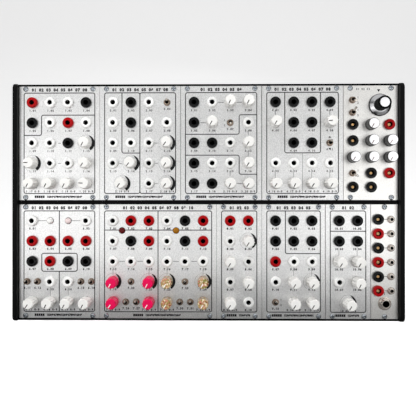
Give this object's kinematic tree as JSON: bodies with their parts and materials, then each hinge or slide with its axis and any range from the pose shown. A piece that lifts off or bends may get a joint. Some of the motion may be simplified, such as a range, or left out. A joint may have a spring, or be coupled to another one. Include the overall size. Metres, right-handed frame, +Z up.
{
  "type": "modular synthesizer",
  "caption": "Two rows of panel modules with knobs, sockets and switches in a shallow case with side cheeks; it makes and shapes electronic sound when its sockets are patched together.",
  "frame": {"origin": "on the surface it stands on, in the middle of the bounding box's width and depth", "axes": "+X to the right as seen by the player, -Y out of the panels towards the player, +Z up"},
  "size_m": [0.4374, 0.1246, 0.2667],
  "materials": {
    "panel_metal": "bead-blasted and anodised, pale silver, fine grain",
    "case_black": "satin black powder coat",
    "rail_black": "black anodised extrusion",
    "white_knob": "smooth white moulding",
    "pink_knob": "hot pink moulding",
    "gold_knob": "clear gold moulding with speckles",
    "dark_knob": "dark grey ribbed body with a bright cap",
    "dial_metal": "spun aluminium skirt, black grip",
    "bright_metal": "nickel plate",
    "circuit_board": "green solder mask",
    "black_plastic": "moulded black plastic"
  },
  "bodies": {
    "case": {"left_cheek": "case_black", "right_cheek": "case_black", "top_rail": "rail_black", "centre_rail": "rail_black", "bottom_rail": "rail_black", "rear_shell": "case_black", "upper_supply_board": "circuit_board", "lower_supply_board": "circuit_board", "power_inlet": "black_plastic", "switch_housing": "black_plastic", "upper_1_panel": "panel_metal", "upper_2_panel": "panel_metal", "upper_3_panel": "panel_metal", "upper_4_panel": "panel_metal", "upper_5_panel": "panel_metal", "lower_1_panel": "panel_metal", "lower_2_panel": "panel_metal", "lower_3_panel": "panel_metal", "lower_4_panel": "panel_metal", "lower_5_panel": "panel_metal", "lower_6_panel": "panel_metal"},
    "upper_1_knob_1": {"upper_1_knob_1": "white_knob"},
    "upper_1_knob_2": {"upper_1_knob_2": "white_knob"},
    "upper_1_knob_3": {"upper_1_knob_3": "white_knob"},
    "upper_1_knob_4": {"upper_1_knob_4": "white_knob"},
    "upper_1_knob_5": {"upper_1_knob_5": "white_knob"},
    "upper_1_knob_6": {"upper_1_knob_6": "white_knob"},
    "upper_1_knob_7": {"upper_1_knob_7": "white_knob"},
    "upper_2_knob_1": {"upper_2_knob_1": "white_knob"},
    "upper_2_knob_2": {"upper_2_knob_2": "white_knob"},
    "upper_2_knob_3": {"upper_2_knob_3": "white_knob"},
    "upper_2_knob_4": {"upper_2_knob_4": "white_knob"},
    "upper_2_knob_5": {"upper_2_knob_5": "white_knob"},
    "upper_2_toggle_1": {"upper_2_toggle_1": "bright_metal"},
    "upper_5_knob_1": {"upper_5_knob_1": "dark_knob"},
    "upper_5_knob_2": {"upper_5_knob_2": "dark_knob"},
    "upper_5_knob_3": {"upper_5_knob_3": "dark_knob"},
    "upper_5_knob_4": {"upper_5_knob_4": "dark_knob"},
    "upper_5_knob_5": {"upper_5_knob_5": "dark_knob"},
    "upper_5_knob_6": {"upper_5_knob_6": "dark_knob"},
    "upper_5_toggle_1": {"upper_5_toggle_1": "bright_metal"},
    "upper_5_toggle_2": {"upper_5_toggle_2": "bright_metal"},
    "upper_5_toggle_3": {"upper_5_toggle_3": "bright_metal"},
    "upper_5_dial": {"upper_5_dial": "dial_metal"},
    "lower_2_knob_1": {"lower_2_knob_1": "pink_knob"},
    "lower_2_knob_2": {"lower_2_knob_2": "pink_knob"},
    "lower_2_knob_3": {"lower_2_knob_3": "gold_knob"},
    "lower_2_knob_4": {"lower_2_knob_4": "gold_knob"},
    "lower_2_knob_5": {"lower_2_knob_5": "pink_knob"},
    "lower_2_knob_6": {"lower_2_knob_6": "pink_knob"},
    "lower_2_knob_7": {"lower_2_knob_7": "gold_knob"},
    "lower_2_knob_8": {"lower_2_knob_8": "gold_knob"},
    "lower_2_toggle_1": {"lower_2_toggle_1": "bright_metal"},
    "lower_2_toggle_2": {"lower_2_toggle_2": "bright_metal"},
    "lower_2_toggle_3": {"lower_2_toggle_3": "bright_metal"},
    "lower_2_toggle_4": {"lower_2_toggle_4": "bright_metal"},
    "lower_2_toggle_5": {"lower_2_toggle_5": "bright_metal"},
    "lower_2_toggle_6": {"lower_2_toggle_6": "bright_metal"},
    "power_rocker": {"power_rocker": "black_plastic"}
  },
  "joints": [
    {"name": "upper_1_knob_1_turn", "type": "hinge", "parent": "case", "child": "upper_1_knob_1", "pos_m": [-0.13716, -0.0424, 0.20003], "axis": [0, 1, 0], "range_deg": [0, 300]},
    {"name": "upper_1_knob_2_turn", "type": "hinge", "parent": "case", "child": "upper_1_knob_2", "pos_m": [-0.19812, -0.0424, 0.17715], "axis": [0, 1, 0], "range_deg": [-60, 240]},
    {"name": "upper_1_knob_3_turn", "type": "hinge", "parent": "case", "child": "upper_1_knob_3", "pos_m": [-0.13716, -0.0424, 0.17715], "axis": [0, 1, 0], "range_deg": [0, 300]},
    {"name": "upper_1_knob_4_turn", "type": "hinge", "parent": "case", "child": "upper_1_knob_4", "pos_m": [-0.19812, -0.0424, 0.15428], "axis": [0, 1, 0], "range_deg": [0, 300]},
    {"name": "upper_1_knob_5_turn", "type": "hinge", "parent": "case", "child": "upper_1_knob_5", "pos_m": [-0.1778, -0.0424, 0.15428], "axis": [0, 1, 0], "range_deg": [0, 300]},
    {"name": "upper_1_knob_6_turn", "type": "hinge", "parent": "case", "child": "upper_1_knob_6", "pos_m": [-0.15748, -0.0424, 0.15428], "axis": [0, 1, 0], "range_deg": [0, 300]},
    {"name": "upper_1_knob_7_turn", "type": "hinge", "parent": "case", "child": "upper_1_knob_7", "pos_m": [-0.13716, -0.0424, 0.15428], "axis": [0, 1, 0], "range_deg": [-60, 240]},
    {"name": "upper_2_knob_1_turn", "type": "hinge", "parent": "case", "child": "upper_2_knob_1", "pos_m": [-0.04572, -0.0424, 0.20003], "axis": [0, 1, 0], "range_deg": [0, 300]},
    {"name": "upper_2_knob_2_turn", "type": "hinge", "parent": "case", "child": "upper_2_knob_2", "pos_m": [-0.08636, -0.0424, 0.17715], "axis": [0, 1, 0], "range_deg": [0, 300]},
    {"name": "upper_2_knob_3_turn", "type": "hinge", "parent": "case", "child": "upper_2_knob_3", "pos_m": [-0.04572, -0.0424, 0.17715], "axis": [0, 1, 0], "range_deg": [0, 300]},
    {"name": "upper_2_knob_4_turn", "type": "hinge", "parent": "case", "child": "upper_2_knob_4", "pos_m": [-0.04572, -0.0424, 0.15428], "axis": [0, 1, 0], "range_deg": [0, 300]},
    {"name": "upper_2_knob_5_turn", "type": "hinge", "parent": "case", "child": "upper_2_knob_5", "pos_m": [-0.09652, -0.0424, 0.15428], "axis": [0, 1, 0], "range_deg": [0, 300]},
    {"name": "upper_2_toggle_1_tilt", "type": "hinge", "parent": "case", "child": "upper_2_toggle_1", "pos_m": [-0.04572, -0.044, 0.24577], "axis": [1, 0, 0], "range_deg": [0, 24]},
    {"name": "upper_5_knob_1_turn", "type": "hinge", "parent": "case", "child": "upper_5_knob_1", "pos_m": [0.18288, -0.0424, 0.22033], "axis": [0, 1, 0], "range_deg": [0, 300]},
    {"name": "upper_5_knob_2_turn", "type": "hinge", "parent": "case", "child": "upper_5_knob_2", "pos_m": [0.18288, -0.0424, 0.20221], "axis": [0, 1, 0], "range_deg": [0, 300]},
    {"name": "upper_5_knob_3_turn", "type": "hinge", "parent": "case", "child": "upper_5_knob_3", "pos_m": [0.2032, -0.0424, 0.20221], "axis": [0, 1, 0], "range_deg": [0, 300]},
    {"name": "upper_5_knob_4_turn", "type": "hinge", "parent": "case", "child": "upper_5_knob_4", "pos_m": [0.16256, -0.0424, 0.18371], "axis": [0, 1, 0], "range_deg": [0, 300]},
    {"name": "upper_5_knob_5_turn", "type": "hinge", "parent": "case", "child": "upper_5_knob_5", "pos_m": [0.18288, -0.0424, 0.18371], "axis": [0, 1, 0], "range_deg": [0, 300]},
    {"name": "upper_5_knob_6_turn", "type": "hinge", "parent": "case", "child": "upper_5_knob_6", "pos_m": [0.2032, -0.0424, 0.18371], "axis": [0, 1, 0], "range_deg": [0, 300]},
    {"name": "upper_5_toggle_1_tilt", "type": "hinge", "parent": "case", "child": "upper_5_toggle_1", "pos_m": [0.16256, -0.044, 0.24808], "axis": [1, 0, 0], "range_deg": [-24, 0]},
    {"name": "upper_5_toggle_2_tilt", "type": "hinge", "parent": "case", "child": "upper_5_toggle_2", "pos_m": [0.16256, -0.044, 0.23395], "axis": [1, 0, 0], "range_deg": [0, 24]},
    {"name": "upper_5_toggle_3_tilt", "type": "hinge", "parent": "case", "child": "upper_5_toggle_3", "pos_m": [0.16256, -0.044, 0.16597], "axis": [1, 0, 0], "range_deg": [-24, 0]},
    {"name": "upper_5_dial_turn", "type": "hinge", "parent": "case", "child": "upper_5_dial", "pos_m": [0.19304, -0.0424, 0.24243], "axis": [0, 1, 0], "range_deg": [-150, 150]},
    {"name": "lower_2_knob_1_turn", "type": "hinge", "parent": "case", "child": "lower_2_knob_1", "pos_m": [-0.10668, -0.0424, 0.0438], "axis": [0, 1, 0], "range_deg": [0, 300]},
    {"name": "lower_2_knob_2_turn", "type": "hinge", "parent": "case", "child": "lower_2_knob_2", "pos_m": [-0.06604, -0.0424, 0.0438], "axis": [0, 1, 0], "range_deg": [0, 300]},
    {"name": "lower_2_knob_3_turn", "type": "hinge", "parent": "case", "child": "lower_2_knob_3", "pos_m": [-0.04572, -0.0424, 0.0438], "axis": [0, 1, 0], "range_deg": [0, 300]},
    {"name": "lower_2_knob_4_turn", "type": "hinge", "parent": "case", "child": "lower_2_knob_4", "pos_m": [-0.00508, -0.0424, 0.0438], "axis": [0, 1, 0], "range_deg": [0, 300]},
    {"name": "lower_2_knob_5_turn", "type": "hinge", "parent": "case", "child": "lower_2_knob_5", "pos_m": [-0.10668, -0.0424, 0.02093], "axis": [0, 1, 0], "range_deg": [0, 300]},
    {"name": "lower_2_knob_6_turn", "type": "hinge", "parent": "case", "child": "lower_2_knob_6", "pos_m": [-0.06604, -0.0424, 0.02093], "axis": [0, 1, 0], "range_deg": [0, 300]},
    {"name": "lower_2_knob_7_turn", "type": "hinge", "parent": "case", "child": "lower_2_knob_7", "pos_m": [-0.04572, -0.0424, 0.02093], "axis": [0, 1, 0], "range_deg": [0, 300]},
    {"name": "lower_2_knob_8_turn", "type": "hinge", "parent": "case", "child": "lower_2_knob_8", "pos_m": [-0.00508, -0.0424, 0.02093], "axis": [0, 1, 0], "range_deg": [0, 300]},
    {"name": "lower_2_toggle_1_tilt", "type": "hinge", "parent": "case", "child": "lower_2_toggle_1", "pos_m": [-0.08636, -0.044, 0.0438], "axis": [1, 0, 0], "range_deg": [0, 24]},
    {"name": "lower_2_toggle_2_tilt", "type": "hinge", "parent": "case", "child": "lower_2_toggle_2", "pos_m": [-0.0254, -0.044, 0.0438], "axis": [1, 0, 0], "range_deg": [0, 24]},
    {"name": "lower_2_toggle_3_tilt", "type": "hinge", "parent": "case", "child": "lower_2_toggle_3", "pos_m": [-0.09226, -0.044, 0.02093], "axis": [1, 0, 0], "range_deg": [0, 24]},
    {"name": "lower_2_toggle_4_tilt", "type": "hinge", "parent": "case", "child": "lower_2_toggle_4", "pos_m": [-0.08046, -0.044, 0.02093], "axis": [1, 0, 0], "range_deg": [0, 24]},
    {"name": "lower_2_toggle_5_tilt", "type": "hinge", "parent": "case", "child": "lower_2_toggle_5", "pos_m": [-0.0313, -0.044, 0.02093], "axis": [1, 0, 0], "range_deg": [0, 24]},
    {"name": "lower_2_toggle_6_tilt", "type": "hinge", "parent": "case", "child": "lower_2_toggle_6", "pos_m": [-0.0195, -0.044, 0.02093], "axis": [1, 0, 0], "range_deg": [0, 24]},
    {"name": "power_rocker_tilt", "type": "hinge", "parent": "case", "child": "power_rocker", "pos_m": [0.15836, 0.0587, 0.03118], "axis": [1, 0, 0], "range_deg": [-18, 0]}
  ]
}
